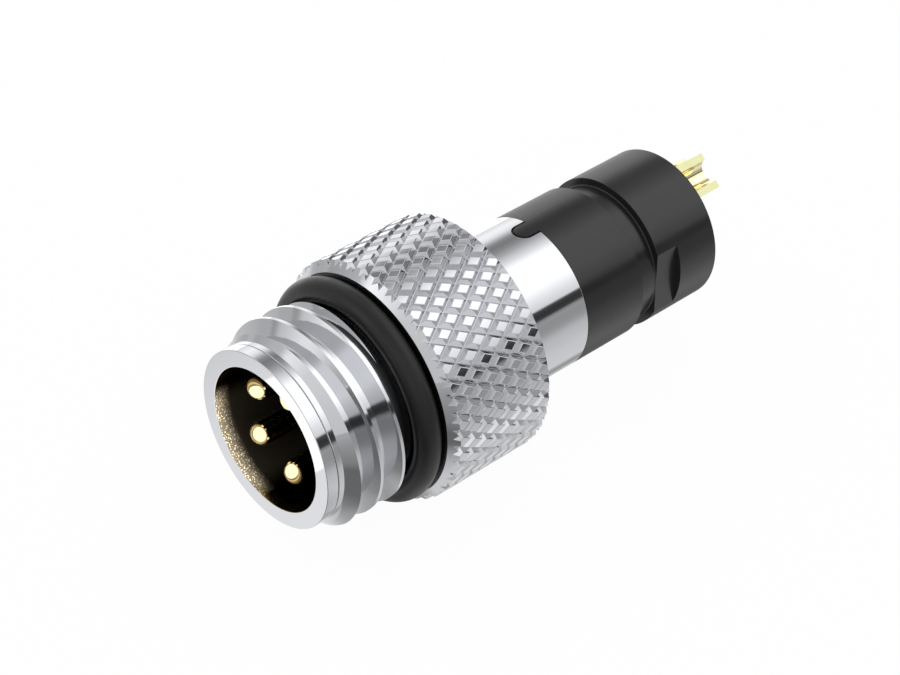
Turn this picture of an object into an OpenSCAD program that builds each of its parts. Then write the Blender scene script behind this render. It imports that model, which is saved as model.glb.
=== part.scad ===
// Circular connector insert with an M8 x 1 coupling screw.
// Millimetres. The origin is the centre of the mating face, +Y runs to the
// solder cups and +Z points to the keyway.

/* [Coupling screw] */
// Diameter over the thread crests
thread_d = 7.94; // [7:0.01:9]
// Length of the threaded stretch
thread_len = 2.72; // [2:0.01:5]
// Distance from one thread crest to the next
thread_pitch = 1.0; // [0.75:0.05:1.25]
// Radial depth of the thread
thread_depth = 0.58; // [0.4:0.01:0.6]
// Width of the flat on a thread crest
crest_w = 0.125; // [0.05:0.005:0.2]
// Width of the flat at the bottom of the thread
root_w = 0.2; // [0.1:0.01:0.3]
// Where a crest starts on the keyway's side, ahead of the threaded stretch
crest_lead = 0.03; // [0:0.01:0.5]
// Diameter of the plain collar ahead of the thread
collar_d = 7.0; // [6.9:0.01:7.3]
// Length of the plain collar
collar_len = 0.27; // [0.1:0.01:1]
// Radial depth of the seal groove below the thread crests
groove_depth = 0.52; // [0.4:0.01:0.6]
// Spare width of the seal groove beside the seal
groove_spare = 0.2; // [0.05:0.01:0.6]
// Wall between the seal groove and the bore
screw_wall = 0.29; // [0.2:0.01:0.4]
// Radial step from the thread crests to the head's front face edge
face_step = 0.46; // [0.35:0.01:0.6]
// Radial step from the thread crests to the top of the knurl
head_step = 0.83; // [0.75:0.01:1.5]
// Length of the knurled head
head_len = 4.82; // [3:0.01:8]
// Axial length of the cone at the front of the head
cone_len = 0.31; // [0.2:0.01:0.6]
// Radial depth of the chamfer at the rear of the head
rear_drop = 0.25; // [0.04:0.01:0.4]
// Axial length of the chamfer at the rear of the head
rear_len = 0.2; // [0.04:0.01:0.4]

/* [Knurl] */
// Number of grooves in each of the two crossing sets
knurl_starts = 41; // [30:1:48]
// Axial distance from one row of diamonds to the next
knurl_row = 0.564; // [0.45:0.001:0.8]
// Depth of the grooves
knurl_depth = 0.215; // [0.1:0.005:0.3]
// Share of a diamond left as a flat land
knurl_land = 0.56; // [0.3:0.01:0.8]
// Distance of the first row ahead of the head's front face
knurl_lead = 0.12; // [0.02:0.01:0.5]
// Turn of the first row from the keyway
knurl_turn = 6.2; // [0:0.1:10]

/* [Seal ring] */
// Diameter of the seal's round section
seal_section = 1.0; // [0.8:0.01:1.2]

/* [Shield shell] */
// Wall of the shell tube
shell_wall = 0.277; // [0.2:0.001:0.4]
// Length of the shell with its flange
shell_len = 12.95; // [11:0.01:20]
// Thickness of the front flange
flange_t = 0.47; // [0.3:0.01:1]
// Break on the flange's front edges
edge_break = 0.025; // [0.01:0.005:0.12]
// Width of the keyway in the shell's rear edge
key_w = 0.92; // [0.6:0.01:1.5]
// Length of the keyway
key_len = 0.93; // [0.8:0.01:2]

/* [Contact carrier] */
// Depth of the socket from the mating face
socket_depth = 5.5; // [4:0.1:7]
// Length of the carrier's shoulder behind the shell
shoulder_len = 2.93; // [2:0.01:5]
// Radial depth of the neck behind the shoulder
neck_depth = 0.32; // [0.1:0.01:0.35]
// Length of the neck
neck_len = 1.0; // [0.5:0.01:2]
// Length of the rear barrel
barrel_len = 3.04; // [2:0.01:6]
// Depth of the two side flats below the barrel
flat_depth = 0.3; // [0.1:0.01:0.35]
// Length of the side flats
flat_len = 1.04; // [0.5:0.01:1.6]
// Break on the barrel's rear edge
barrel_break = 0.06; // [0.02:0.01:0.15]

/* [Contacts] */
// Diameter of the circle through the contacts
contact_circle_d = 3.54; // [3.3:0.01:3.7]
// Turn of the near pair of contacts from the key's plane
near_pair_turn = 16.6; // [14:0.1:22]
// Turn of the far pair of contacts from the key's plane
far_pair_turn = 52.9; // [48:0.1:58]
// Diameter of the mating pins
pin_d = 1.0; // [0.7:0.01:1.1]
// Distance of the pin tips behind the mating face
pin_setback = 0.52; // [0.1:0.005:2]
// Depth in the carrier at which the thick end of a contact seats
seat_depth = 2.5; // [1:0.1:5]
// Outside diameter of the solder cups
cup_d = 1.52; // [1.2:0.01:1.6]
// Wall of the solder cups
cup_wall = 0.31; // [0.15:0.01:0.4]
// Length of the solder cups behind the carrier
cup_len = 2.33; // [1.5:0.01:4]
// Depth of the bore in the solder cups
cup_bore_depth = 2.9; // [2.5:0.1:4]

/* [Clearances] */
// Running clearance between the screw's bore and the shell
running_gap = 0.04; // [0.02:0.005:0.08]
// Axial gap between the flange and the screw
axial_gap = 0.03; // [0.02:0.005:0.1]
// Clearance of the seal on its groove and of inserts in their seats
seat_gap = 0.01; // [0.005:0.005:0.03]
// Gap around the key in its keyway
key_gap = 0.06; // [0.02:0.005:0.1]

/* [Hidden] */
$fn = 96;
spare = 0.5;

thread_r = thread_d / 2;
root_r = thread_r - thread_depth;
collar_r = collar_d / 2;
groove_r = thread_r - groove_depth;
bore_r = groove_r - screw_wall;
face_r = thread_r + face_step;
head_r = thread_r + head_step;
seal_r = seal_section / 2;
seal_mid_r = groove_r + seat_gap + seal_r;

shell_r = bore_r - running_gap;
shell_in_r = shell_r - shell_wall;
plug_r = shell_in_r - seat_gap;
neck_r = shell_r - neck_depth;
pin_r = pin_d / 2;
cup_r = cup_d / 2;
cup_bore_r = cup_r - cup_wall;

collar_y = flange_t + axial_gap;
thread_y = collar_y + collar_len;
groove_y = thread_y + thread_len;
face_y = groove_y + seal_section + groove_spare;
head_end_y = face_y + head_len;
seal_y = face_y - seat_gap - seal_r;
neck_y = shell_len + shoulder_len;
barrel_y = neck_y + neck_len;
carrier_end_y = barrel_y + barrel_len;
contact_seat_y = socket_depth + seat_depth;
cup_end_y = carrier_end_y + cup_len;
key_end_y = shell_len - key_len + key_w / 2;

// Each contact: its turn about the axis from the key, and the way its cup opens
contacts = [
    [near_pair_turn, 45],
    [180 - near_pair_turn, 135],
    [180 + far_pair_turn, 225],
    [-far_pair_turn, -45]
];

// Shapes are drawn along their own Z and laid along +Y, with the key at their -Y
module along_axis() {
    rotate([-90, 0, 0]) children();
}

// A solid of revolution from points given as [radius, distance from the mating face]
module turned(points) {
    rotate_extrude() polygon(points);
}

// A point on a circle about the axis, at a turn measured from the key
function around(r, turn, y) = [r * sin(turn), -r * cos(turn), y];

// A straight slot with a round front end, cut radially through the key side
module key_slot(w, outer_r, inner_r) {
    translate([0, -inner_r, key_end_y]) rotate([90, 0, 0]) {
        cylinder(d = w, h = outer_r - inner_r);
        translate([-w / 2, 0, 0]) cube([w, shell_len - key_end_y + spare, outer_r - inner_r]);
    }
}

module shield_shell() {
    color("gainsboro") along_axis() difference() {
        turned([
            [shell_in_r + edge_break, 0],
            [collar_r - edge_break, 0],
            [collar_r, edge_break],
            [collar_r, flange_t],
            [shell_r, flange_t],
            [shell_r, shell_len],
            [shell_in_r, shell_len],
            [shell_in_r, edge_break]
        ]);
        key_slot(key_w, shell_r + spare, shell_in_r - spare);
    }
}

// The key on the carrier that fills the shell's keyway, flush with the shell
module carrier_key() {
    intersection() {
        key_slot(key_w - 2 * key_gap, shell_r + spare, plug_r - spare);
        cylinder(r = shell_r, h = shell_len + spare);
    }
}

module contact_carrier() {
    color("#2b2b2d") along_axis() difference() {
        union() {
            turned([
                [0, socket_depth],
                [plug_r, socket_depth],
                [plug_r, shell_len],
                [shell_r, shell_len],
                [shell_r, neck_y],
                [neck_r, neck_y],
                [neck_r, barrel_y],
                [shell_r, barrel_y],
                [shell_r, carrier_end_y - barrel_break],
                [shell_r - barrel_break, carrier_end_y],
                [0, carrier_end_y]
            ]);
            carrier_key();
        }
        for (side = [-1, 1])
            translate([side * (shell_r - flat_depth + spare), 0, barrel_y + flat_len / 2])
                cube([2 * spare, 2 * shell_r, flat_len], center = true);
        for (c = contacts) {
            translate(around(contact_circle_d / 2, c[0], socket_depth - spare))
                cylinder(r = pin_r + seat_gap, h = carrier_end_y);
            translate(around(contact_circle_d / 2, c[0], contact_seat_y))
                cylinder(r = cup_r + seat_gap, h = carrier_end_y);
        }
    }
}

// A turned contact: domed pin, thick rear end and a half-open solder cup
module contact_pin(index) {
    turn = contacts[index][0];
    opening = contacts[index][1];
    color("#e2b659") along_axis()
        translate(around(contact_circle_d / 2, turn, 0)) rotate([0, 0, opening - 90]) difference() {
            union() {
                translate([0, 0, pin_setback + pin_r]) {
                    sphere(r = pin_r);
                    cylinder(r = pin_r, h = contact_seat_y - pin_setback);
                }
                translate([0, 0, contact_seat_y]) cylinder(r = cup_r, h = cup_end_y - contact_seat_y);
            }
            translate([0, 0, cup_end_y - cup_bore_depth]) cylinder(r = cup_bore_r, h = cup_bore_depth + spare);
            translate([0, -cup_d, carrier_end_y]) cube([cup_d, 2 * cup_d, cup_len + spare]);
        }
}

module contact_pin_1() {
    contact_pin(0);
}

module contact_pin_2() {
    contact_pin(1);
}

module contact_pin_3() {
    contact_pin(2);
}

module contact_pin_4() {
    contact_pin(3);
}

// A bar with a diamond knurl: two crossing sets of V grooves that leave flat-topped
// diamonds. On a grid of half pitches, even places are diamonds and odd ones are
// the points where four diamonds meet at the bottom of the grooves.
module knurled_bar(start_y, rows) {
    half = 180 / knurl_starts;
    count = 2 * knurl_starts;
    land = knurl_land;
    // Five points for each grid place: valley, left, right, front and rear corner of the land
    points = [for (m = [0:rows], i = [0:count - 1])
        let (turn = knurl_turn + i * half, y = start_y + m * knurl_row)
        let (low = y - (m == 0 ? 0 : land * knurl_row), high = y + (m == rows ? 0 : land * knurl_row))
        each [
            around(head_r - knurl_depth, turn, y),
            around(head_r, turn - land * half, y),
            around(head_r, turn + land * half, y),
            around(head_r, turn, low),
            around(head_r, turn, high)
        ]];
    at = function(i, m, corner) 5 * (m * count + (i + count) % count) + corner;
    lands = [for (m = [0:rows], i = [0:count - 1]) if ((i + m) % 2 == 0)
        each [
            if (m > 0) [at(i, m, 1), at(i, m, 2), at(i, m, 3)],
            if (m < rows) [at(i, m, 2), at(i, m, 1), at(i, m, 4)]
        ]];
    flanks = [for (m = [0:rows], i = [0:count - 1]) if ((i + m) % 2 == 0)
        each [
            if (m > 0) each [
                [at(i - 1, m, 0), at(i, m, 1), at(i, m, 3)],
                [at(i - 1, m, 0), at(i, m, 3), at(i, m - 1, 0)],
                [at(i + 1, m, 0), at(i, m, 3), at(i, m, 2)],
                [at(i + 1, m, 0), at(i, m - 1, 0), at(i, m, 3)]
            ],
            if (m < rows) each [
                [at(i - 1, m, 0), at(i, m, 4), at(i, m, 1)],
                [at(i - 1, m, 0), at(i, m + 1, 0), at(i, m, 4)],
                [at(i + 1, m, 0), at(i, m, 2), at(i, m, 4)],
                [at(i + 1, m, 0), at(i, m, 4), at(i, m + 1, 0)]
            ]
        ]];
    front = [for (i = [0:count - 1]) each i % 2 == 0 ? [at(i, 0, 1), at(i, 0, 2)] : [at(i, 0, 0)]];
    rear = [for (k = [0:count - 1])
        let (i = count - 1 - k)
        each (i + rows) % 2 == 0 ? [at(i, rows, 2), at(i, rows, 1)] : [at(i, rows, 0)]];
    polyhedron(points, concat(lands, flanks, [front, rear]));
}

// The knurled head, trimmed by the cone at its front and the chamfer at its rear
module knurled_head() {
    cone_slope = cone_len / (head_r - face_r);
    limit_r = head_r + rear_drop;
    intersection() {
        knurled_bar(face_y - knurl_lead, floor((head_len + knurl_lead) / knurl_row) + 1);
        turned([
            [0, face_y],
            [face_r, face_y],
            [limit_r, face_y + cone_slope * (limit_r - face_r)],
            [limit_r, head_end_y - 2 * rear_len],
            [head_r - rear_drop, head_end_y],
            [0, head_end_y]
        ]);
    }
}

// A right-hand threaded rod that ends in a point on the axis at each end
module threaded_rod(start_y, turns) {
    steps = 72;
    count = turns * steps;
    flank = (thread_pitch - crest_w - root_w) / 2;
    // One turn's section along the axis: the crest, then the flat at the bottom of the thread
    section = [
        [0, thread_r],
        [crest_w, thread_r],
        [crest_w + flank, root_r],
        [thread_pitch - flank, root_r]
    ];
    corner = function(i, k)
        around(section[k][1], 360 * i / steps, start_y + thread_pitch * i / steps + section[k][0]);
    // A turn's section ends where the next turn's begins, so the last turn has one edge more
    points = concat(
        [for (i = [0:count], k = [0:3]) corner(i, k)],
        [for (i = [count + 1:count + steps]) corner(i, 0)],
        [[0, 0, start_y - thread_pitch / 2]],
        [[0, 0, start_y + thread_pitch * (turns + 1.5)]]
    );
    at = function(i, k) k == 4 ? at(i + steps, 0) : i <= count ? 4 * i + k : 3 * (count + 1) + i;
    front_tip = len(points) - 2;
    rear_tip = len(points) - 1;
    sides = [for (i = [0:count - 1], k = [0:3]) each [
        [at(i, k), at(i, k + 1), at(i + 1, k + 1)],
        [at(i, k), at(i + 1, k + 1), at(i + 1, k)]
    ]];
    rim = function(i) concat([for (j = [0:steps]) at(i + j, 0)], [for (k = [3:-1:1]) at(i, k)]);
    front = [for (j = [0:steps + 3]) [front_tip, rim(0)[j], rim(0)[(j + 1) % (steps + 4)]]];
    rear = [for (j = [0:steps + 3]) [rear_tip, rim(count)[(j + 1) % (steps + 4)], rim(count)[j]]];
    polyhedron(points, concat(sides, front, rear));
}

// The threaded stretch: the rod is cut off at the seal groove and led in by a cone at the collar
module screw_thread() {
    start_y = thread_y - crest_lead - 2 * thread_pitch;
    intersection() {
        threaded_rod(start_y, ceil((groove_y - start_y) / thread_pitch));
        turned([
            [0, thread_y],
            [collar_r, thread_y],
            [thread_r + spare, thread_y + thread_r + spare - collar_r],
            [thread_r + spare, groove_y],
            [0, groove_y]
        ]);
    }
}

module coupling_screw() {
    color("silver") along_axis() difference() {
        union() {
            turned([
                [0, collar_y],
                [collar_r, collar_y],
                [collar_r, thread_y],
                [bore_r, thread_y],
                [bore_r, groove_y],
                [groove_r, groove_y],
                [groove_r, face_y],
                [0, face_y]
            ]);
            screw_thread();
            knurled_head();
        }
        cylinder(r = bore_r, h = head_end_y + spare);
    }
}

module o_ring() {
    color("#1c1c1c") along_axis() translate([0, 0, seal_y])
        rotate_extrude() translate([seal_mid_r, 0]) circle(r = seal_r);
}

shield_shell();
contact_carrier();
contact_pin_1();
contact_pin_2();
contact_pin_3();
contact_pin_4();
coupling_screw();
o_ring();
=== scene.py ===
"""Dresses the packed circular connector insert: nickel, black plastic, gold contacts and a rubber seal."""
import math

import bmesh
import bpy
from bpy.props import FloatProperty, FloatVectorProperty, IntProperty, PointerProperty
from mathutils import Matrix, Vector


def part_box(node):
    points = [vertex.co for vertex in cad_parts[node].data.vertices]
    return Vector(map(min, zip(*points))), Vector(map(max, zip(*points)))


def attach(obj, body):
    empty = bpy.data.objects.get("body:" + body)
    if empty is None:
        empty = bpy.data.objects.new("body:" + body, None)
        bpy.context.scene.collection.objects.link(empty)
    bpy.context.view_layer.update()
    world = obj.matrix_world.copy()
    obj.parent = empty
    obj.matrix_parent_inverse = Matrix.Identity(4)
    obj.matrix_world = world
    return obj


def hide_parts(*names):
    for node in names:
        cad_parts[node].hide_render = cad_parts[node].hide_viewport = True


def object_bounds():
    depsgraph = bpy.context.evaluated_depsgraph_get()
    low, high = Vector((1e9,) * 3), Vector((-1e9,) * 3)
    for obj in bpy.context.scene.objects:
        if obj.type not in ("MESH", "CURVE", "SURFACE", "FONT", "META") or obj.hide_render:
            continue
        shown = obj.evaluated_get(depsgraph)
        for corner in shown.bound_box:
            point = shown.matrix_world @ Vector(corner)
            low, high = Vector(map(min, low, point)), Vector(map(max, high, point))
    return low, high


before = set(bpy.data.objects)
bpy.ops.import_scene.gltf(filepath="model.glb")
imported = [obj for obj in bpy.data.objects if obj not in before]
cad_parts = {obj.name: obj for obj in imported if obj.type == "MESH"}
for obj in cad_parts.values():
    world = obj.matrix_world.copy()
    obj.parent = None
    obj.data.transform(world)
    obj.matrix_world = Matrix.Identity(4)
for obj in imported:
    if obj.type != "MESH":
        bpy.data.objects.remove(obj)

bl_info = {
    "name": "Circular Connector Insert",
    "version": (1, 0, 0),
    "blender": (4, 5, 0),
    "location": "View3D > Sidebar > Connector",
    "description": "Builds a male screw connector insert around its packed solids",
    "category": "Add Mesh",
}

MM = 0.001
MICRON = 0.000001

# The connector's axis is Y from the mating face, the keyway is at +Z, and a turn runs from +Z towards +X
CAD_LOW, CAD_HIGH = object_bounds()
SHELL_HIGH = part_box("shield_shell")[1]
CARRIER_LOW, CARRIER_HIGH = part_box("contact_carrier")
SCREW_LOW, SCREW_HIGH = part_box("coupling_screw")
SEAL_LOW, SEAL_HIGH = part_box("o_ring")
CONTACT_NODES = ["contact_pin_1", "contact_pin_2", "contact_pin_3", "contact_pin_4"]

# Room that a cutting tool has past the faces it cuts
SPARE = 0.5 * MM
# Steps around the turned pieces, and around the contacts and their holes
SEGMENTS = 256
CONTACT_SEGMENTS = 96
# Share of a pin's radius that its dome takes up
DOME_SHARE = 0.999
# Room beside a rounded corner, as a share of its radius, that keeps the next face shaded as it lies
SHADE_MARGIN = 0.15

# Depths in the shell between which its bare mouth turns dark: painted shade deep inside the tube
BORE_SHADE_DEPTHS = (-0.1 * MM, 0.7 * MM)
# The turn of the mouth's sanded side, which also carries painted light, and how far out that way the sanding
# and the painted light set in
SANDED_LIT_TURN = math.radians(-125)
SANDED_LIT_REACH = (1.83 * MM, 2.51 * MM)
# Noise levels between which a bright grain turns dark, the share of the painted glints' glow that dark grains
# lack, and the strength of that painted glow
GRAINS = (0.36, 0.43)
DARK_GRAIN_GLINT_SHARE = 0.92
PAINTED_GLINT_GLOW = 2.4
# Roughness of the mouth's smooth side, and how metallic the sanded side still looks
SMOOTH_SIDE = 0.12
SANDED_METALLIC = 0.2

BLACK = (0.0, 0.0, 0.0, 1.0)
WHITE = (1.0, 1.0, 1.0, 1.0)


def length(name, description, millimetres):
    """A size in millimetres, kept in metres as Blender does."""
    return FloatProperty(name=name, description=description, default=millimetres * MM, min=0.0,
                         precision=5, unit="LENGTH")


def colour(name, description, red, green, blue):
    """A finish's colour."""
    return FloatVectorProperty(name=name, description=description, default=(red, green, blue), size=3,
                               min=0.0, max=1.0, subtype="COLOR")


class ShellSizes(bpy.types.PropertyGroup):
    """Sizes of the shield shell, a turned tube with a front flange and a keyway."""
    flange_r: length("Flange radius", "Outside of the front flange", SHELL_HIGH.x / MM)
    flange_t: length("Flange thickness", "Thickness of the front flange", 0.482)
    outer_r: length("Tube radius", "Outside of the tube", CARRIER_HIGH.x / MM)
    wall: length("Wall", "Wall of the tube", 0.277)
    end_y: length("Tube length", "Length from the mating face", SHELL_HIGH.y / MM)
    edge: length("Edge break", "Rounding of the flange's edges", 0.025)
    lip: length("Lip rounding", "Rounding of the tube's rear lip", 0.03)
    key_w: length("Keyway width", "Width of the keyway", 0.92)
    key_len: length("Keyway length", "Length of the keyway from the tube's rear end", 0.93)


class CarrierSizes(bpy.types.PropertyGroup):
    """Sizes of the contact carrier, one plastic moulding."""
    gap: length("Seat gap", "Gap between the carrier and what it holds", 0.01)
    key_gap: length("Key gap", "Gap around the key in the keyway", 0.08)
    shoulder_len: length("Shoulder length", "Length of the shoulder behind the shell", 2.93)
    neck_r: length("Neck radius", "Radius of the retaining neck", 2.80)
    neck_len: length("Neck length", "Length of the retaining neck", 1.0)
    neck_foot: length("Neck fillet", "Fillet at the feet of the neck", 0.06)
    edge: length("Edge rounding", "Rounding of the moulded edges", 0.015)
    rear_edge: length("Rear edge", "Rounding of the rear edge", 0.06)
    flat_depth: length("Flat depth", "Depth of the two side flats", 0.30)
    flat_len: length("Flat length", "Length of the two side flats", 1.04)
    seat_y: length("Contact seat", "Distance of the contacts' seats from the mating face", 8.0)


class ContactSizes(bpy.types.PropertyGroup):
    """Sizes of one turned contact."""
    pin_r: length("Pin radius", "Radius of the mating pin", 0.5)
    cup_wall: length("Cup wall", "Wall of the solder cup", 0.31)
    cup_depth: length("Cup depth", "Depth of the solder cup's bore", 2.9)
    edge: length("Edge break", "Rounding of the cup's edges", 0.02)


class ScrewSizes(bpy.types.PropertyGroup):
    """Sizes of the coupling screw: collar, thread, seal groove and knurled head."""
    collar_r: length("Collar radius", "Radius of the collar in front of the thread", 3.5)
    thread_y: length("Thread start", "Where the thread starts", 0.77)
    crest_r: length("Crest radius", "Outside radius of the thread", 3.97)
    root_r: length("Root radius", "Radius at the bottom of the thread", 3.39)
    pitch: length("Pitch", "Distance from crest to crest", 1.0)
    crest_w: length("Crest flat", "Width of a crest", 0.125)
    root_w: length("Root flat", "Width at the bottom of the thread", 0.2)
    crest_y: length("First crest", "Where a crest passes the keyway's side", 0.805)
    groove_y: length("Groove start", "Front wall of the seal groove", 3.54)
    groove_r: length("Groove radius", "Bottom of the seal groove", 3.45)
    face_y: length("Head face", "Front face of the knurled head", 4.69)
    face_r: length("Face radius", "Outside of the head's front face", 4.43)
    cone_y: length("Cone end", "Where the head's front cone reaches full size", 5.0)
    rear_drop: length("Rear chamfer depth", "Radial depth of the chamfer at the head's rear", 0.25)
    rear_len: length("Rear chamfer length", "Axial length of the chamfer at the head's rear", 0.2)
    bore_r: length("Bore radius", "Radius of the bore that turns on the shell", 3.16)
    edge: length("Edge break", "Rounding of the turned edges", 0.03)


class KnurlSizes(bpy.types.PropertyGroup):
    """Sizes of the diamond knurl, a grid of half pitches whose even places are diamonds."""
    starts: IntProperty(name="Starts", description="Diamonds in one row around the head", default=41, min=6)
    row: length("Row", "Distance between rows of diamonds", 0.564)
    first_y: length("First row", "Where the first row lies", 4.57)
    first_turn: FloatProperty(name="First turn", description="Where the first diamond lies around the axis",
                              default=math.radians(6.2), subtype="ANGLE")
    depth: length("Depth", "Depth of the grooves", 0.215)
    valley: length("Valley", "Radius at the bottom of a groove", 0.014)
    land: FloatProperty(name="Land", description="Share of a diamond that is flat on top", default=0.56,
                        min=0.0, max=1.0)
    edge: length("Edge break", "Width of the break along a diamond's edges", 0.022)


class Finishes(bpy.types.PropertyGroup):
    """Colours of the connector's finishes."""
    shell_nickel: colour("Shell nickel", "Bright nickel plate of the shield shell", 0.585, 0.592, 0.613)
    screw_nickel: colour("Screw nickel", "Nickel plate of the coupling screw", 0.59, 0.597, 0.618)
    bore_brass: colour("Bore brass", "Bare brass in the mouth of the shield shell", 1.0, 0.84, 0.58)
    # Colour of the painted shade deep inside the shield shell
    bore_shade: colour("Bore depth", "Darkened inside of the shield shell", 0.014, 0.01, 0.004)
    gold: colour("Gold plate", "Plating of the contacts", 0.93, 0.83, 0.5)
    # A darker gold on the cups' cut faces: painted shade that dims what these faces mirror
    cut_faces_shaded_gold: colour("Cut gold", "Cut faces of the solder cups", 0.54, 0.54, 0.31)
    plastic: colour("Carrier plastic", "Moulded plastic of the contact carrier", 0.013, 0.013, 0.0137)
    rubber: colour("Seal rubber", "Rubber of the seal ring", 0.004, 0.004, 0.0042)
    floor: colour("Floor", "Plain pale floor", 0.86, 0.86, 0.86)


def around(radius, y, angle):
    """The point at a radius and a turn about the connector's axis."""
    return Vector((radius * math.sin(angle), y, radius * math.cos(angle)))


def rounded(corners, steps=8):
    """A closed outline of (radius, y) points from corners given as (radius, y, rounding)."""
    outline = []
    for index, (radius, y, rounding) in enumerate(corners):
        corner = Vector((radius, y))
        if rounding <= 0.0:
            outline.append(corner)
            continue
        back = Vector(corners[index - 1][:2]) - corner
        ahead = Vector(corners[(index + 1) % len(corners)][:2]) - corner
        to_back, to_ahead = back.normalized(), ahead.normalized()
        half = back.angle(ahead) / 2
        setback = rounding / math.tan(half)
        centre = corner + (to_back + to_ahead).normalized() * rounding / math.sin(half)
        first = corner + to_back * setback - centre
        last = corner + to_ahead * setback - centre
        sweep = first.angle_signed(last)
        # A point just outside each end, where there is room, keeps the long faces shaded as they lie
        clear = setback + rounding * SHADE_MARGIN
        if clear < back.length:
            outline.append(corner + to_back * clear)
        for step in range(steps + 1):
            outline.append(centre + Matrix.Rotation(-sweep * step / steps, 2) @ first)
        if clear < ahead.length:
            outline.append(corner + to_ahead * clear)
    return outline


def turned(outline, segments=SEGMENTS, centre=(0.0, 0.0)):
    """A closed mesh turned from an outline, about the connector's axis or one parallel to it."""
    bm = bmesh.new()
    offset = Vector((centre[0], 0.0, centre[1]))
    rings = []
    for radius, y in outline:
        # A point on the axis has no ring
        count = segments if radius > 0.0 else 1
        rings.append([bm.verts.new(around(radius, y, math.tau * i / segments) + offset)
                      for i in range(count)])
    for near, far in zip(rings, rings[1:] + rings[:1]):
        if len(near) == 1 and len(far) == 1:
            continue
        for i in range(segments):
            corners = (near[i % len(near)], near[(i + 1) % segments % len(near)],
                       far[(i + 1) % segments % len(far)], far[i % len(far)])
            bm.faces.new(list(dict.fromkeys(corners)))
    bmesh.ops.recalc_face_normals(bm, faces=bm.faces)
    return bm


def block(low, high):
    """A closed box, used as a cutting tool."""
    bm = bmesh.new()
    bmesh.ops.create_cube(bm, size=1.0)
    size = [b - a for a, b in zip(low, high)]
    middle = [(a + b) / 2 for a, b in zip(low, high)]
    bmesh.ops.transform(bm, verts=bm.verts, matrix=Matrix.LocRotScale(middle, None, size))
    return bm


def slot_bar(width, start_y, end_y, low_z, high_z, steps=24):
    """A bar with a round front end that stands across the keyway side."""
    bm = bmesh.new()
    radius = width / 2
    plan = [(radius, end_y), (-radius, end_y)]
    for step in range(steps + 1):
        angle = math.pi + math.pi * step / steps
        plan.append((radius * math.cos(angle), start_y + radius + radius * math.sin(angle)))
    base = bm.faces.new([bm.verts.new((x, y, low_z)) for x, y in plan])
    raised = bmesh.ops.extrude_face_region(bm, geom=[base])["geom"]
    bmesh.ops.translate(bm, verts=[v for v in raised if isinstance(v, bmesh.types.BMVert)],
                        vec=(0.0, 0.0, high_z - low_z))
    bmesh.ops.recalc_face_normals(bm, faces=bm.faces)
    return bm


def piece_from(name, bm):
    """An object in the scene from a finished bmesh."""
    mesh = bpy.data.meshes.new(name)
    bm.to_mesh(mesh)
    bm.free()
    obj = bpy.data.objects.new(name, mesh)
    bpy.context.scene.collection.objects.link(obj)
    return obj


def work(obj, operation, bm):
    """Cuts, joins or trims an object with a tool, and leaves plain mesh behind."""
    tool = piece_from("tool", bm)
    modifier = obj.modifiers.new(operation, "BOOLEAN")
    modifier.object = tool
    modifier.operation = operation
    modifier.solver = "MANIFOLD"
    worked = bpy.data.meshes.new_from_object(obj.evaluated_get(bpy.context.evaluated_depsgraph_get()))
    if not worked.polygons:
        raise RuntimeError(obj.name + " was left empty by " + operation)
    obj.modifiers.clear()
    spent = [obj.data, tool.data]
    obj.data = worked
    worked.name = obj.name
    bpy.data.objects.remove(tool)
    for mesh in spent:
        bpy.data.meshes.remove(mesh)


def taken_mesh(obj):
    """The mesh of a helper object, which is then removed."""
    bm = bmesh.new()
    bm.from_mesh(obj.data)
    mesh = obj.data
    bpy.data.objects.remove(obj)
    bpy.data.meshes.remove(mesh)
    return bm


def finish_piece(obj, body, node, materials, sharp_degrees=25.0):
    """Shades a piece, gives it its finish and sets it in the frame in place of its node."""
    obj.data.materials.clear()
    for material in materials:
        obj.data.materials.append(material)
    obj.data.shade_smooth()
    obj.data.set_sharp_from_angle(angle=math.radians(sharp_degrees))
    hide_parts(node)
    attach(obj, body)


def shared_group(name, numbers, results, fill):
    """A node group on a place and some numbers, which is filled when it is first asked for."""
    if name in bpy.data.node_groups:
        return bpy.data.node_groups[name]
    group = bpy.data.node_groups.new(name, "ShaderNodeTree")
    group.interface.new_socket(name="Place", in_out="INPUT", socket_type="NodeSocketVector")
    for direction, labels in (("INPUT", numbers), ("OUTPUT", results)):
        for label in labels:
            group.interface.new_socket(name=label, in_out=direction, socket_type="NodeSocketFloat")
    fill(group, group.nodes.new("NodeGroupInput").outputs, group.nodes.new("NodeGroupOutput").inputs)
    return group


def new_material(name):
    """A material, its nodes and its main shader."""
    material = bpy.data.materials.new(name)
    material.use_nodes = True
    return material, material.node_tree, material.node_tree.nodes["Principled BSDF"]


def feed(tree, socket, value):
    """Gives a socket another socket's result or a plain value."""
    if isinstance(value, bpy.types.NodeSocket):
        tree.links.new(value, socket)
    else:
        socket.default_value = value


def math_node(tree, operation, *values):
    """A math node on sockets or numbers, and its result."""
    node = tree.nodes.new("ShaderNodeMath")
    node.operation = operation
    for socket, value in zip(node.inputs, values):
        feed(tree, socket, value)
    return node.outputs["Value"]


def mix_node(tree, kind, factor, first, second):
    """A blend of two sockets or plain values, and its result."""
    node = tree.nodes.new("ShaderNodeMix")
    node.data_type = kind
    pair = [socket for socket in node.inputs if socket.name in ("A", "B") and socket.enabled]
    for socket, value in zip([node.inputs["Factor"], *pair], (factor, first, second)):
        feed(tree, socket, value)
    return next(socket for socket in node.outputs if socket.enabled)


def mix_shader(tree, factor, first, second):
    """A blend of two shaders, and its result."""
    node = tree.nodes.new("ShaderNodeMixShader")
    for socket, value in zip(node.inputs, (factor, first, second)):
        tree.links.new(value, socket)
    return node.outputs["Shader"]


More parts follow.
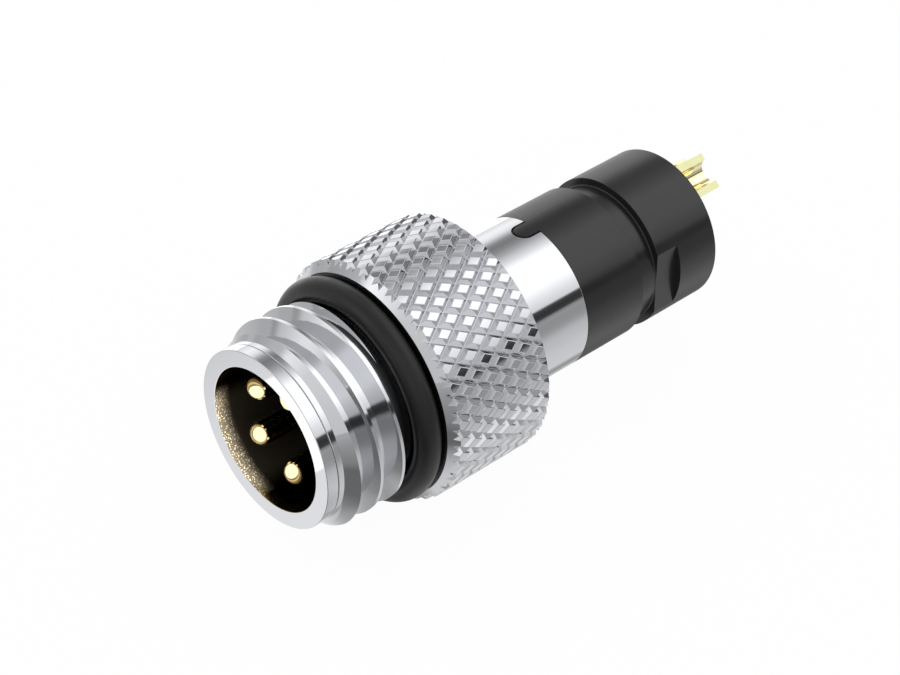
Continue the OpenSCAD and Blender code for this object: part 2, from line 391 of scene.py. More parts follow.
def map_range(tree, value, low, high, rise="SMOOTHSTEP"):
    """A rise from 0 at low to 1 at high."""
    node = tree.nodes.new("ShaderNodeMapRange")
    node.interpolation_type = rise
    node.inputs["From Min"].default_value = low
    node.inputs["From Max"].default_value = high
    tree.links.new(value, node.inputs["Value"])
    return node.outputs["Result"]


def place_in(tree, kind):
    """The place in the given coordinates."""
    return (tree.nodes.get("Texture Coordinate") or tree.nodes.new("ShaderNodeTexCoord")).outputs[kind]


def split(tree, place):
    """The three parts of a place."""
    node = tree.nodes.new("ShaderNodeSeparateXYZ")
    tree.links.new(place, node.inputs["Vector"])
    return [node.outputs[axis] for axis in "XYZ"]


def grey_ramp(tree, place, levels, reach):
    """A ramp of (spot, level) greys from -reach to reach, over a socket from 0 to 1, and its colour."""
    ramp = tree.nodes.new("ShaderNodeValToRGB")
    tree.links.new(place, ramp.inputs["Fac"])
    stops = ramp.color_ramp.elements
    for spot, level in levels:
        position = spot / (2 * reach) + 0.5
        stop = stops[0] if position <= 0.0 else stops[-1] if position >= 1.0 else stops.new(position)
        stop.color = (level, level, level, 1.0)
    return ramp.outputs["Color"]


def group_noise(group, place, scale, detail):
    """A noise texture in a node group."""
    node = group.nodes.new("ShaderNodeTexNoise")
    node.inputs["Detail"].default_value = detail
    group.links.new(place, node.inputs["Vector"])
    group.links.new(scale, node.inputs["Scale"])
    return node


def turning_marks(group, given, result):
    """Fine rings that a lathe leaves: noise that changes along the axis and outwards, and not around."""
    across, along, upward = split(group, given["Place"])
    square = math_node(group, "MULTIPLY_ADD", upward, upward, math_node(group, "MULTIPLY", across, across))
    radius = math_node(group, "SQRT", square)
    place = group.nodes.new("ShaderNodeCombineXYZ")
    group.links.new(along, place.inputs["X"])
    group.links.new(radius, place.inputs["Y"])
    rings = group_noise(group, place.outputs["Vector"], given["Per metre"], detail=2.0)
    rings.noise_dimensions = "2D"
    group.links.new(rings.outputs["Fac"], result["Height"])


def mould_grain(group, given, result):
    """Fine even grain, as a spark-eroded mould leaves on plastic and rubber."""
    grains = group_noise(group, given["Place"], given["Per metre"], detail=1.0)
    grains.inputs["Roughness"].default_value = 0.4
    group.links.new(grains.outputs["Fac"], result["Height"])


def soft_patches(group, given, result):
    """Soft patches, as in the gloss of a plated or moulded surface, between two given values."""
    patches = group_noise(group, given["Place"], given["Per metre"], detail=3.0)
    spread = map_range(group, patches.outputs["Fac"], low=0.3, high=0.7, rise="LINEAR")
    group.links.new(mix_node(group, "FLOAT", spread, given["Low"], given["High"]), result["Value"])
    group.links.new(patches.outputs["Fac"], result["Mask"])


def place_group(tree, group, values):
    """Puts a shared node group into a material, on the piece's own coordinates."""
    node = tree.nodes.new("ShaderNodeGroup")
    node.node_tree = group
    tree.links.new(place_in(tree, "Object"), node.inputs["Place"])
    for label, value in values.items():
        node.inputs[label].default_value = value
    return node


def finish_material(name, tint, dark, rough, patches, relief, marks, height, metallic=1.0):
    """A finish with patches in its colour and gloss and a relief, both given per metre, and its nodes."""
    material, tree, shader = new_material(name)
    shader.inputs["Metallic"].default_value = metallic
    clouds = shared_group("soft_patches", ["Per metre", "Low", "High"], ["Value", "Mask"], soft_patches)
    gloss = place_group(tree, clouds, {"Per metre": patches, "Low": rough[0], "High": rough[1]})
    tree.links.new(gloss.outputs["Value"], shader.inputs["Roughness"])
    darker = [part * dark for part in tint]
    tree.links.new(mix_node(tree, "RGBA", gloss.outputs["Mask"], (*tint, 1.0), (*darker, 1.0)),
                   shader.inputs["Base Color"])
    form = place_group(tree, shared_group(relief.__name__, ["Per metre"], ["Height"], relief),
                       {"Per metre": marks})
    bump = tree.nodes.new("ShaderNodeBump")
    bump.inputs["Strength"].default_value = 1.0
    bump.inputs["Distance"].default_value = height
    tree.links.new(form.outputs["Height"], bump.inputs["Height"])
    tree.links.new(bump.outputs["Normal"], shader.inputs["Normal"])
    return material, tree, shader


def shell_nickel(finishes):
    """Bright nickel plate."""
    return finish_material(
        "nickel_shell", finishes.shell_nickel, dark=0.96, rough=(0.05, 0.08), patches=900.0,
        relief=turning_marks, marks=9000.0, height=0.2 * MICRON)[0]


def screw_nickel(finishes):
    """Nickel plate over turned and knurled metal."""
    return finish_material(
        "nickel_screw", finishes.screw_nickel, dark=0.94, rough=(0.05, 0.09), patches=1100.0,
        relief=turning_marks, marks=12000.0, height=0.8 * MICRON)[0]


def bore_brass(finishes):
    """The inside of the shield shell: brass with painted shade that darkens it with depth, sanded on its
    lower side, where painted glints glow.
    """
    material, tree, shader = finish_material(
        "shell_bore", finishes.bore_brass, dark=0.45, rough=(0.5, 0.7), patches=19000.0,
        relief=mould_grain, marks=22000.0, height=3.0 * MICRON)
    place_x, place_y, place_z = split(tree, place_in(tree, "Object"))
    # Painted shade: the wall darkens with depth into the shell
    depth_shade = map_range(tree, place_y, *BORE_SHADE_DEPTHS)
    # The sanded side sets the roughness and metal, and also where the painted light glows
    across = math_node(tree, "MULTIPLY", place_x, math.sin(SANDED_LIT_TURN))
    toward = math_node(tree, "MULTIPLY_ADD", place_z, math.cos(SANDED_LIT_TURN), across)
    sanded_and_lit = map_range(tree, toward, *SANDED_LIT_REACH)
    # The soft patches become crisp grains
    speckle = shader.inputs["Base Color"].links[0].from_node
    grains = map_range(tree, speckle.inputs["Factor"].links[0].from_socket, *GRAINS)
    tree.links.new(grains, speckle.inputs["Factor"])
    # The brass turns to the painted shade's colour with depth
    shaded_by_depth = mix_node(tree, "RGBA", depth_shade, speckle.outputs["Result"], (*finishes.bore_shade, 1.0))
    tree.links.new(shaded_by_depth, shader.inputs["Base Color"])
    rough = shader.inputs["Roughness"].links[0].from_socket
    tree.links.new(mix_node(tree, "FLOAT", sanded_and_lit, SMOOTH_SIDE, rough), shader.inputs["Roughness"])
    tree.links.new(mix_node(tree, "FLOAT", sanded_and_lit, 1.0, SANDED_METALLIC), shader.inputs["Metallic"])
    # Bright grains on the sanded side near the mouth glow a little: painted glints and painted light that
    # stand in for light falling on the lower side of the mouth
    shown = math_node(tree, "MULTIPLY", sanded_and_lit, math_node(tree, "SUBTRACT", 1.0, depth_shade))
    bright = math_node(tree, "MULTIPLY", shown, math_node(tree, "MULTIPLY_ADD", grains, -DARK_GRAIN_GLINT_SHARE, 1.0))
    tree.links.new(mix_node(tree, "RGBA", bright, BLACK, (*finishes.bore_brass, 1.0)),
                   shader.inputs["Emission Color"])
    shader.inputs["Emission Strength"].default_value = PAINTED_GLINT_GLOW
    return material


def contact_gold(finishes):
    """Gold plate on the turned contacts."""
    return finish_material(
        "gold_plate", finishes.gold, dark=0.94, rough=(0.06, 0.11), patches=1500.0,
        relief=turning_marks, marks=14000.0, height=0.6 * MICRON)[0]


def cut_faces_shaded_gold(finishes):
    """The cut faces of the solder cups, in a darker gold that is painted shade."""
    return finish_material(
        "cut_faces_shaded_gold", finishes.cut_faces_shaded_gold, dark=0.92, rough=(0.1, 0.16), patches=1800.0,
        relief=mould_grain, marks=18000.0, height=MICRON)[0]


def carrier_plastic(finishes):
    """Satin black moulded plastic, duller where it is seen along its surface."""
    material, tree, shader = finish_material(
        "carrier_plastic", finishes.plastic, dark=0.8, rough=(0.18, 0.24), metallic=0.0, patches=700.0,
        relief=mould_grain, marks=16000.0, height=MICRON)
    shader.inputs["Specular IOR Level"].default_value = 0.4
    facing = tree.nodes.new("ShaderNodeLayerWeight").outputs["Facing"]
    along = map_range(tree, facing, low=0.35, high=0.8)
    dull = mix_node(tree, "FLOAT", along, shader.inputs["Roughness"].links[0].from_socket, 0.45)
    tree.links.new(dull, shader.inputs["Roughness"])
    return material


def seal_rubber(finishes):
    """Matt black rubber."""
    material, _, shader = finish_material(
        "seal_rubber", finishes.rubber, dark=0.75, rough=(0.36, 0.46), metallic=0.0, patches=1200.0,
        relief=mould_grain, marks=20000.0, height=4.0 * MICRON)
    shader.inputs["Specular IOR Level"].default_value = 0.38
    return material


class CONNECTOR_OT_stage(bpy.types.Operator):
    """Sets the pale floor, the soft white room and the camera"""
    bl_idname = "connector.stage"
    bl_label = "Stage"

    # Brightness of the room as gloss sees it, by the turn about the connector's axis in degrees
    ROOM = [(-180, 0.92), (-130, 1.6), (-90, 1.1), (-74, 1.5), (-66, 1.37), (-61, 1.17), (-57, 0.87),
            (-53, 0.59), (-49, 0.42), (-42, 0.31), (-33, 0.41), (-25, 0.61), (-17, 0.91), (-9, 1.24),
            (0, 1.74), (44, 1.74), (49, 1.58), (57, 1.34), (65, 1.16), (69.5, 1.09), (71, 0.1), (77, 0.05),
            (83, 0.07), (86, 0.39), (90, 0.51), (180, 0.92)]
    # The same for the room's front part, where the camera stands, and for the lamp at the left above it
    FRONT = [(-180, 0.6), (-90, 0.5), (-60, 0.75), (-24, 0.84), (8, 0.64), (24, 0.88), (32, 1.15), (40, 1.36),
             (48, 1.25), (56, 0.98), (72, 0.75), (88, 0.66), (180, 0.6)]
    LAMP = [(-180, 0.7), (-95, 0.6), (-80, 1.0), (-62, 1.7), (-50, 1.6), (-35, 1.3), (-10, 1.05), (20, 1.05),
            (60, 0.95), (180, 0.7)]
    # Brightness between these parts, by the slope along the axis from front to rear
    BETWEEN = [(-1, 0.65), (-0.85, 0.85), (-0.7, 0.95), (-0.6, 0.8), (-0.45, 0.62), (-0.3, 0.72), (0, 0.8),
               (0.2, 1.0), (0.35, 1.1), (0.7, 1.4), (0.8, 1.25), (0.87, 0.8), (0.92, 0.22), (1, 0.15)]
    # How much of the room's strips, of its front part and of the lamp shows, by the same slope
    STRIPS_SHARE = [(-1, 0), (0.32, 0), (0.43, 1), (0.62, 1), (0.7, 0.5), (0.85, 0), (1, 0)]
    FRONT_SHARE = [(-1, 0), (-0.7, 0), (-0.63, 1), (-0.37, 1), (-0.3, 0), (1, 0)]
    LAMP_SHARE = [(-1, 0), (-0.92, 0.6), (-0.85, 1), (-0.72, 1), (-0.64, 0), (1, 0)]
    # Brightness of the floor as gloss sees it, by the place across the axis in millimetres, at the front and
    # at the rear, and the stretch of the axis where one turns into the other
    FLOOR_FRONT = [(-60, 0.65), (-14, 0.8), (-11, 0.95), (-8, 1.1), (-5, 1.18), (1, 1.2), (3, 0.45),
                   (5, 0.22), (9, 0.21), (11, 0.35), (16, 0.43), (22, 0.48), (40, 0.55), (60, 0.6)]
    FLOOR_REAR = [(-60, 1.1), (-10, 1.0), (-6, 0.95), (-2, 0.75), (0.5, 0.66), (1.5, 0.58), (2.3, 0.4),
                  (2.6, 0.42), (3.3, 0.93), (6, 0.93), (9, 0.84), (12, 0.79), (15, 0.7), (18.5, 0.58),
                  (22, 0.52), (30, 0.47), (60, 0.46)]
    FLOOR_REACH = 60
    FLOOR_TURN = (0.0, 3.5 * MM)
    # Half the floor's width, and the share of plain white in what the camera sees of it
    FLOOR_HALF = 0.6
    FLOOR_SHARE = 0.97
    # White cards just above the floor that gloss mirrors, as their low and high corners in millimetres
    CARDS = [((-7.4, -7.5), (-1.8, -3.6)), ((-300.0, 8.0), (-13.0, 300.0))]
    CARD_LEVEL = 1.75
    CARD_LIFT = 0.01 * MM
    # A round white card across the mouth with a grey and a brass ring, which the pins and the bore mirror:
    # inside radius, outside radius and colour
    MOUTH_RINGS = [(0.0, 2.12, (1.4, 1.4, 1.4)), (2.12, 2.4, (0.22, 0.22, 0.22)),
                   (2.4, 2.82, (0.8, 0.6, 0.42))]
    MOUTH_CARD_Y = 0.03 * MM
    # The photograph's camera, in millimetres and degrees: azimuth is measured from -Y towards +X
    CAMERA_PLACE = (50.95, -37.15, 53.51)
    CAMERA_AZIMUTH = 47.95
    CAMERA_ELEVATION = 37.95
    CAMERA_LENS = 93.62
    CAMERA_SENSOR = 36.0
    CAMERA_CLIP = (0.002, 20.0)

    def execute(self, context):
        self.make_room(context.scene)
        self.make_floor(context.scene.connector_finishes)
        self.make_cards()
        self.make_camera(context.scene)
        context.scene.view_settings.view_transform = "Standard"
        return {"FINISHED"}

    def make_room(self, scene):
        """A white room for the camera, with the strips and boxes that gloss mirrors."""
        world = bpy.data.worlds.new("white_room")
        world.use_nodes = True
        tree = world.node_tree
        tree.nodes.clear()
        way_x, way_y, way_z = split(tree, place_in(tree, "Generated"))
        angle = math_node(tree, "ARCTAN2", way_x, way_z)
        place = math_node(tree, "ADD", math_node(tree, "DIVIDE", angle, math.tau), 0.5)
        slope = math_node(tree, "MULTIPLY_ADD", way_y, 0.5, 0.5)
        room = grey_ramp(tree, slope, self.BETWEEN, 1)
        parts = [(self.ROOM, self.STRIPS_SHARE), (self.FRONT, self.FRONT_SHARE), (self.LAMP, self.LAMP_SHARE)]
        for levels, shares in parts:
            room = mix_node(tree, "RGBA", grey_ramp(tree, slope, shares, 1), room,
                            grey_ramp(tree, place, levels, 180))
        path = tree.nodes.new("ShaderNodeLightPath")
        light = mix_node(tree, "RGBA", path.outputs["Is Glossy Ray"], WHITE, room)
        seen = math_node(tree, "ADD", path.outputs["Is Camera Ray"], path.outputs["Is Transmission Ray"])
        background = tree.nodes.new("ShaderNodeBackground")
        tree.links.new(mix_node(tree, "RGBA", seen, light, WHITE), background.inputs["Color"])
        output = tree.nodes.new("ShaderNodeOutputWorld")
        tree.links.new(background.outputs["Background"], output.inputs["Surface"])
        scene.world = world

    def make_floor(self, finishes):
        """A wide pale floor under the knurled head, bright to the camera and grey to gloss."""
        bm = bmesh.new()
        bmesh.ops.create_grid(bm, x_segments=1, y_segments=1, size=self.FLOOR_HALF)
        bmesh.ops.translate(bm, verts=bm.verts, vec=(0.0, 0.0, CAD_LOW.z))
        floor = piece_from("floor", bm)
        material, tree, shader = new_material("pale_floor")
        shader.inputs["Base Color"].default_value = (*finishes.floor, 1.0)
        shader.inputs["Roughness"].default_value = 0.9
        shader.inputs["Specular IOR Level"].default_value = 0.1
        path = tree.nodes.new("ShaderNodeLightPath")
        seen = math_node(tree, "ADD", path.outputs["Is Camera Ray"], path.outputs["Is Transmission Ray"])
        white = tree.nodes.new("ShaderNodeEmission")
        bright = mix_shader(tree, math_node(tree, "MULTIPLY", seen, self.FLOOR_SHARE),
                            shader.outputs["BSDF"], white.outputs["Emission"])
        place_x, place_y, _ = split(tree, place_in(tree, "Object"))
        across = math_node(tree, "MULTIPLY_ADD", place_x, 0.5 / (self.FLOOR_REACH * MM), 0.5)
        level = mix_node(tree, "RGBA", map_range(tree, place_y, *self.FLOOR_TURN, rise="LINEAR"),
                         grey_ramp(tree, across, self.FLOOR_FRONT, self.FLOOR_REACH),
                         grey_ramp(tree, across, self.FLOOR_REAR, self.FLOOR_REACH))
        grey = tree.nodes.new("ShaderNodeEmission")
        tree.links.new(level, grey.inputs["Color"])
        mirrored = mix_shader(tree, path.outputs["Is Glossy Ray"], bright, grey.outputs["Emission"])
        tree.links.new(mirrored, tree.nodes["Material Output"].inputs["Surface"])
        floor.data.materials.append(material)

    def make_cards(self):
        """Cards that are seen only in gloss: two on the floor, and one with two rings across the mouth."""
        for number, ((low_x, low_y), (high_x, high_y)) in enumerate(self.CARDS, 1):
            plan = [(low_x, low_y), (high_x, low_y), (high_x, high_y), (low_x, high_y)]
            bm = bmesh.new()
            bm.faces.new([bm.verts.new((x * MM, y * MM, CAD_LOW.z + self.CARD_LIFT)) for x, y in plan])
            self.make_card(f"floor_card_{number}", bm, [self.CARD_LEVEL] * 3)
        angles = [math.tau * i / SEGMENTS for i in range(SEGMENTS)]
        for number, (inside, outside, glow) in enumerate(self.MOUTH_RINGS, 1):
            bm = bmesh.new()
            inner, outer = [[bm.verts.new(around(radius * MM, self.MOUTH_CARD_Y, angle)) for angle in angles]
                            for radius in (inside, outside)]
            for i in range(SEGMENTS):
                bm.faces.new((inner[i - 1], inner[i], outer[i], outer[i - 1]))
            self.make_card(f"mouth_card_{number}", bm, glow)

    def make_card(self, name, bm, glow):
        """One flat card with an even glow that neither the camera nor matt surfaces see."""
        card = piece_from(name, bm)
        material, _, shader = new_material(name)
        shader.inputs["Base Color"].default_value = BLACK
        shader.inputs["Specular IOR Level"].default_value = 0.0
        strength = max(glow)
        shader.inputs["Emission Color"].default_value = (*[part / strength for part in glow], 1.0)
        shader.inputs["Emission Strength"].default_value = strength
        card.data.materials.append(material)
        card.visible_camera = False
        card.visible_diffuse = False
        card.visible_shadow = False

    def make_camera(self, scene):
        """The photograph's view."""
        camera = bpy.data.cameras.new("camera")
        camera.sensor_width = self.CAMERA_SENSOR
        camera.lens = self.CAMERA_LENS
        camera.clip_start, camera.clip_end = self.CAMERA_CLIP
        obj = bpy.data.objects.new("camera", camera)
        tilt = Matrix.Rotation(math.radians(90 - self.CAMERA_ELEVATION), 4, "X")
        swing = Matrix.Rotation(math.radians(self.CAMERA_AZIMUTH), 4, "Z")
        obj.matrix_world = Matrix.Translation(Vector(self.CAMERA_PLACE) * MM) @ swing @ tilt
        scene.collection.objects.link(obj)
        scene.camera = obj


class CONNECTOR_OT_shield_shell(bpy.types.Operator):
    """Builds the shield shell with its flange and keyway"""
    bl_idname = "connector.shield_shell"
    bl_label = "Shield shell"

    def execute(self, context):
        size = context.scene.connector_shell
        inner_r = size.outer_r - size.wall
        shell = piece_from("shield_shell_turned", turned(rounded([
            (inner_r, 0.0, size.edge),
            (size.flange_r, 0.0, size.edge),
            (size.flange_r, size.flange_t, size.edge / 2),
            (size.outer_r, size.flange_t, 0.0),
            (size.outer_r, size.end_y, size.lip),
            (inner_r, size.end_y, size.lip),
        ])))
        work(shell, "DIFFERENCE", slot_bar(size.key_w, size.end_y - size.key_len, size.end_y + SPARE,
                                           inner_r - SPARE, size.outer_r + SPARE))
        finishes = context.scene.connector_finishes
        finish_piece(shell, "insert", "shield_shell",
                     [shell_nickel(finishes), bore_brass(finishes)])
        for face in shell.data.polygons:
            radius = math.hypot(face.center.x, face.center.z)
            if radius < inner_r + size.edge / 4 and face.center.y < size.end_y - size.key_len:
                face.material_index = 1
        return {"FINISHED"}


class CONNECTOR_OT_contact_carrier(bpy.types.Operator):
    """Builds the moulded contact carrier with its key, neck, flats and contact holes"""
    bl_idname = "connector.contact_carrier"
    bl_label = "Contact carrier"

    def execute(self, context):
        size = context.scene.connector_carrier
        shell = context.scene.connector_shell
        pin = context.scene.connector_contact
        plug_r = shell.outer_r - shell.wall - size.gap
        outer_r = shell.outer_r
        neck_y = shell.end_y + size.shoulder_len
        barrel_y = neck_y + size.neck_len
        end_y = CARRIER_HIGH.y
        key_y = shell.end_y - shell.key_len + size.key_gap
        carrier = piece_from("contact_carrier_moulded", turned(rounded([
            (0.0, CARRIER_LOW.y, 0.0),
            (plug_r, CARRIER_LOW.y, size.edge),
            (plug_r, key_y, 0.0),
            (outer_r, key_y, 0.0),
            (outer_r, neck_y, size.edge),
            (size.neck_r, neck_y, size.neck_foot),
            (size.neck_r, barrel_y, size.neck_foot),
            (outer_r, barrel_y, size.edge),
            (outer_r, end_y, size.rear_edge),
            (0.0, end_y, 0.0),
        ])))
        # All round the key, the blank is taken down to the plug that sits in the shell
        around_key = piece_from("key_waste", turned([
            (plug_r, key_y - SPARE), (outer_r + SPARE, key_y - SPARE),
            (outer_r + SPARE, shell.end_y), (plug_r, shell.end_y)]))
        work(around_key, "DIFFERENCE", slot_bar(shell.key_w - 2 * size.key_gap, key_y, shell.end_y + SPARE,
                                                plug_r - SPARE, outer_r + 2 * SPARE))
        work(carrier, "DIFFERENCE", taken_mesh(around_key))
        flat_x = outer_r - size.flat_depth
        for low_x, high_x in ((flat_x, outer_r + SPARE), (-outer_r - SPARE, -flat_x)):
            work(carrier, "DIFFERENCE", block((low_x, barrel_y - SPARE, -outer_r),
                                              (high_x, barrel_y + size.flat_len, outer_r)))
        for node in CONTACT_NODES:
            low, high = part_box(node)
            middle = (low + high) / 2
            hole_r = (high.x - low.x) / 2 + size.gap
            work(carrier, "DIFFERENCE", turned([
                (0.0, CARRIER_LOW.y - SPARE), (pin.pin_r + size.gap, CARRIER_LOW.y - SPARE),
                (pin.pin_r + size.gap, size.seat_y), (hole_r, size.seat_y),
                (hole_r, end_y + SPARE), (0.0, end_y + SPARE)], CONTACT_SEGMENTS, (middle.x, middle.z)))
        finish_piece(carrier, "insert", "contact_carrier",
                     [carrier_plastic(context.scene.connector_finishes)])
        return {"FINISHED"}


class CONNECTOR_OT_contacts(bpy.types.Operator):
    """Builds the four turned contacts: domed pins with half-open solder cups"""
    bl_idname = "connector.contacts"
    bl_label = "Contacts"

    def execute(self, context):
        size = context.scene.connector_contact
        carrier = context.scene.connector_carrier
        finishes = context.scene.connector_finishes
        materials = [contact_gold(finishes), cut_faces_shaded_gold(finishes)]
        for node in CONTACT_NODES:
            low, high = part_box(node)
            middle = (low + high) / 2
            cup_r = (high.x - low.x) / 2
            bore_r = cup_r - size.cup_wall
            bore_y = high.y - size.cup_depth
            contact = piece_from(node + "_turned", turned(rounded([
                (0.0, low.y, 0.0),
                (size.pin_r, low.y, size.pin_r * DOME_SHARE),
                (size.pin_r, carrier.seat_y, 0.0),
                (cup_r, carrier.seat_y, size.edge),
                (cup_r, high.y, size.edge),
                (bore_r, high.y, size.edge),
                (bore_r, bore_y, 0.0),
                (0.0, bore_y, 0.0),
            ], steps=32), CONTACT_SEGMENTS, (middle.x, middle.z)))
            opening = math.atan2(math.copysign(1.0, middle.x), math.copysign(1.0, middle.z))
            cutter = block((-2 * cup_r, CARRIER_HIGH.y, 0.0), (2 * cup_r, high.y + SPARE, 2 * cup_r))
            bmesh.ops.rotate(cutter, verts=cutter.verts, cent=(0.0, 0.0, 0.0),
                             matrix=Matrix.Rotation(opening, 3, "Y"))
            bmesh.ops.translate(cutter, verts=cutter.verts, vec=(middle.x, 0.0, middle.z))
            work(contact, "DIFFERENCE", cutter)
            finish_piece(contact, "insert", node, materials)
            # The flat faces that the cutter leaves get the darker gold of painted shade
            facing = around(1.0, 0.0, opening)
            for face in contact.data.polygons:
                height = (face.center - middle).dot(facing)
                level = abs(height) < size.edge and face.normal.dot(facing) > 0.99
                if level and face.center.y > CARRIER_HIGH.y:
                    face.material_index = 1
        return {"FINISHED"}


class CONNECTOR_OT_coupling_screw(bpy.types.Operator):
    """Builds the coupling screw with its cut thread, seal groove and diamond knurl"""
    bl_idname = "connector.coupling_screw"
    bl_label = "Coupling screw"

    # Steps along a diamond's side, and in the round of its valley
    CELLS = 4
    VALLEY_STEPS = 5

    def execute(self, context):
        size = context.scene.connector_screw
        head_r = SCREW_HIGH.z
        end_y = SCREW_HIGH.y
        screw = piece_from("coupling_screw_turned", self.thread(size))
        crest_in = size.crest_r - size.collar_r
        work(screw, "INTERSECT", turned(rounded([
            (0.0, size.thread_y - size.edge, 0.0),
            (size.collar_r - size.edge, size.thread_y - size.edge, 0.0),
            (size.crest_r + SPARE, size.thread_y + crest_in + SPARE, 0.0),
            (size.crest_r + SPARE, size.groove_y, 0.0),
            (0.0, size.groove_y, 0.0),
        ])))
        work(screw, "UNION", turned(rounded([
            (0.0, SCREW_LOW.y, 0.0),
            (size.collar_r, SCREW_LOW.y, size.edge),
            (size.collar_r, size.thread_y, size.edge),
            (size.root_r - SPARE, size.thread_y, 0.0),
            (size.root_r - SPARE, size.groove_y - SPARE, 0.0),
            (size.groove_r, size.groove_y - SPARE, 0.0),
            (size.groove_r, size.face_y + SPARE, 0.0),
            (0.0, size.face_y + SPARE, 0.0),
        ])))
        head = piece_from("screw_head", self.knurled_bar(context.scene.connector_knurl, head_r, end_y))
        slope = (size.cone_y - size.face_y) / (head_r - size.face_r)
        work(head, "INTERSECT", turned(rounded([
            (0.0, size.face_y, 0.0),
            (size.face_r, size.face_y, size.edge),
            (head_r + SPARE, size.cone_y + slope * SPARE, 0.0),
            (head_r + SPARE, end_y - size.rear_len * (1 + SPARE / size.rear_drop), 0.0),
            (head_r - size.rear_drop, end_y, 0.0),
            (0.0, end_y, 0.0),
        ])))
        work(screw, "UNION", taken_mesh(head))
        work(screw, "DIFFERENCE", turned([
            (0.0, SCREW_LOW.y - SPARE), (size.bore_r + size.edge + SPARE, SCREW_LOW.y - SPARE),
            (size.bore_r, SCREW_LOW.y + size.edge), (size.bore_r, end_y - size.edge),
            (size.bore_r + size.edge + SPARE, end_y + SPARE), (0.0, end_y + SPARE)]))
        finish_piece(screw, "coupling", "coupling_screw",
                     [screw_nickel(context.scene.connector_finishes)], sharp_degrees=12.0)
        return {"FINISHED"}

    def thread(self, size):
        """A closed right-hand threaded rod, longer than the thread that is kept of it."""
        bm = bmesh.new()
        flank = (size.pitch - size.crest_w - size.root_w) / 2
        half = size.crest_w / 2
        section = [(-half, size.crest_r), (half, size.crest_r),
                   (half + flank, size.root_r), (half + flank + size.root_w, size.root_r)]
        first = SEGMENTS * math.floor((SCREW_LOW.y - size.crest_y) / size.pitch - 1)
        last = SEGMENTS * math.ceil((size.groove_y - size.crest_y) / size.pitch + 1)
        made = {}
        for i in range(first, last + SEGMENTS + 1):
            y = size.crest_y + size.pitch * i / SEGMENTS
            for step, (ahead, radius) in enumerate(section):
                if i <= last or step == 0:
                    made[i, step] = bm.verts.new(around(radius, y + ahead, math.tau * i / SEGMENTS))
        # The end of a turn's section is the start of the next turn's
        for i in range(first, last + 1):
            made[i, len(section)] = made[i + SEGMENTS, 0]
        for i in range(first, last):
            for step in range(len(section)):
                bm.faces.new((made[i, step], made[i + 1, step], made[i + 1, step + 1], made[i, step + 1]))
        for i, tip_y in ((first, SCREW_LOW.y - 4 * size.pitch), (last, size.groove_y + 4 * size.pitch)):
            tip = bm.verts.new((0.0, tip_y, 0.0))
            rim = [made[i + j, 0] for j in range(SEGMENTS + 1)]
            rim += [made[i, step] for step in range(len(section) - 1, 0, -1)]
            for near, far in zip(rim, rim[1:] + rim[:1]):
                bm.faces.new((tip, near, far))
        bmesh.ops.recalc_face_normals(bm, faces=bm.faces)
        return bm

    def knurled_bar(self, size, head_r, end_y):
        """A closed bar of flat-topped diamonds, longer than the head that is kept of it."""
        bm = bmesh.new()
        levels = self.diamond_levels(size, head_r)
        rows = math.ceil((end_y - size.first_y) / size.row) + 1
        for row in range(rows):
            for place in range(row % 2, 2 * size.starts, 2):
                self.diamond(bm, size, row, place, levels)
        bmesh.ops.remove_doubles(bm, verts=bm.verts, dist=size.edge / 20)
        # A cone closes each end
        middle_y = size.first_y + size.row * rows / 2
        front = bm.verts.new((0.0, size.first_y - 3 * size.row, 0.0))
        rear = bm.verts.new((0.0, size.first_y + (rows + 3) * size.row, 0.0))
        for edge in [edge for edge in bm.edges if len(edge.link_faces) == 1]:
            tip = front if edge.verts[0].co.y < middle_y else rear
            bm.faces.new((tip, *edge.verts))
        bmesh.ops.recalc_face_normals(bm, faces=bm.faces)
        return bm

    def diamond_levels(self, size, head_r):
        """The rings of a diamond from its valley to its top, as their share of its width and their radius."""
        half_w = math.pi / size.starts * head_r
        # Distance from a diamond's middle to its side, and the slope of its flank
        reach = half_w * size.row / math.hypot(half_w, size.row)
        slope = math.atan2(size.depth, (1 - size.land) * reach)
        low = head_r - size.depth
        levels = []
        for step in range(self.VALLEY_STEPS + 1):
            bend = slope * step / self.VALLEY_STEPS
            levels.append((1.0 - size.valley * math.sin(bend) / reach,
                           low + size.valley * (1 / math.cos(slope) - math.cos(bend))))
        foot = size.valley * math.sin(slope) + size.edge
        levels.append((1.0 - foot / reach, low + foot * math.tan(slope)))
        radius = size.edge / math.tan(slope / 2)
        for bend in (slope, slope / 2, 0.0):
            inward = size.land * reach - size.edge + radius * math.sin(bend)
            levels.append((inward / reach, head_r - radius * (1 - math.cos(bend))))
        return levels

    def diamond(self, bm, size, row, place, levels):
        """One diamond: the rings of its flanks, and a top that follows the round of the head."""
        cells = self.CELLS

        def at(across, along, radius):
            return bm.verts.new(around(radius, size.first_y + (row + along) * size.row,
                                       size.first_turn + (place + across) * math.pi / size.starts))

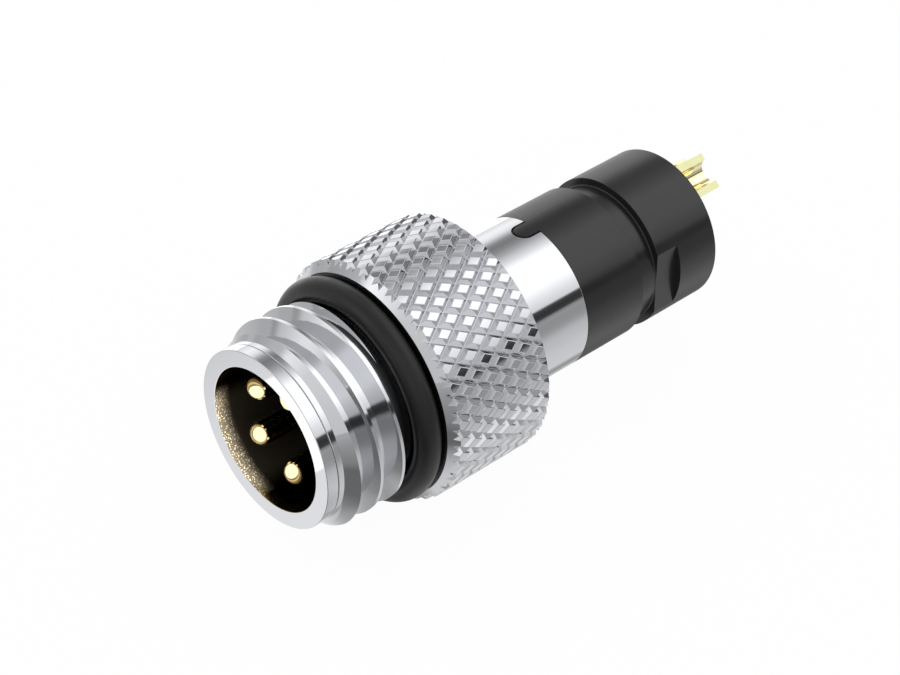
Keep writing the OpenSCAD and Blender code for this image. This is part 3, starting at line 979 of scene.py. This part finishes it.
        sides = [(0, -1), (1, 0), (0, 1), (-1, 0)]
        rings = []
        for scale, radius in levels:
            ring = []
            for (x0, y0), (x1, y1) in zip(sides, sides[1:] + sides[:1]):
                for cell in range(cells):
                    part = cell / cells
                    ring.append(at(scale * (x0 + (x1 - x0) * part), scale * (y0 + (y1 - y0) * part), radius))
            rings.append(ring)
        for outer, inner in zip(rings, rings[1:]):
            for k in range(len(outer)):
                n = (k + 1) % len(outer)
                bm.faces.new((outer[k], outer[n], inner[n], inner[k]))
        rim = rings[-1]
        scale, radius = levels[-1]
        grid = {}
        for k in range(cells):
            grid[k, 0] = rim[k]
            grid[cells, k] = rim[cells + k]
            grid[cells - k, cells] = rim[2 * cells + k]
            grid[0, cells - k] = rim[3 * cells + k]
        for p in range(1, cells):
            for q in range(1, cells):
                grid[p, q] = at(scale * (p - q) / cells, scale * ((p + q) / cells - 1), radius)
        for p in range(cells):
            for q in range(cells):
                bm.faces.new((grid[p, q], grid[p + 1, q], grid[p + 1, q + 1], grid[p, q + 1]))


class CONNECTOR_OT_seal(bpy.types.Operator):
    """Builds the seal ring in the screw's groove"""
    bl_idname = "connector.seal"
    bl_label = "Seal ring"

    def execute(self, context):
        section_r = (SEAL_HIGH.y - SEAL_LOW.y) / 2
        middle_r = SEAL_HIGH.x - section_r
        middle_y = (SEAL_HIGH.y + SEAL_LOW.y) / 2
        steps = 64
        outline = []
        for step in range(steps):
            angle = math.tau * step / steps
            outline.append((middle_r + section_r * math.cos(angle), middle_y + section_r * math.sin(angle)))
        seal = piece_from("seal_ring", turned(outline))
        finish_piece(seal, "coupling", "o_ring", [seal_rubber(context.scene.connector_finishes)])
        return {"FINISHED"}


class CONNECTOR_PT_panel(bpy.types.Panel):
    """Lists the connector's pieces and sizes"""
    bl_idname = "CONNECTOR_PT_panel"
    bl_label = "Connector"
    bl_space_type = "VIEW_3D"
    bl_region_type = "UI"
    bl_category = "Connector"

    def draw(self, context):
        for operator in OPERATORS:
            self.layout.operator(operator.bl_idname)
        for name, group in PROPERTY_GROUPS.items():
            box = self.layout.box()
            box.label(text=group.__doc__)
            for label in group.__annotations__:
                box.prop(getattr(context.scene, name), label)


PROPERTY_GROUPS = {
    "connector_shell": ShellSizes,
    "connector_carrier": CarrierSizes,
    "connector_contact": ContactSizes,
    "connector_screw": ScrewSizes,
    "connector_knurl": KnurlSizes,
    "connector_finishes": Finishes,
}
OPERATORS = [CONNECTOR_OT_stage, CONNECTOR_OT_shield_shell, CONNECTOR_OT_contact_carrier,
             CONNECTOR_OT_contacts, CONNECTOR_OT_coupling_screw, CONNECTOR_OT_seal]
CLASSES = [*PROPERTY_GROUPS.values(), *OPERATORS, CONNECTOR_PT_panel]


def register():
    """Registers the classes and gives each scene its sizes."""
    for item in CLASSES:
        bpy.utils.register_class(item)
    for name, group in PROPERTY_GROUPS.items():
        setattr(bpy.types.Scene, name, PointerProperty(type=group))


def unregister():
    """Takes back what register did."""
    for name in PROPERTY_GROUPS:
        delattr(bpy.types.Scene, name)
    for item in reversed(CLASSES):
        bpy.utils.unregister_class(item)


def main():
    """Builds the stage and every piece."""
    register()
    bpy.ops.connector.stage()
    bpy.ops.connector.shield_shell()
    bpy.ops.connector.contact_carrier()
    bpy.ops.connector.contacts()
    bpy.ops.connector.coupling_screw()
    bpy.ops.connector.seal()


if __name__ == "__main__":
    main()
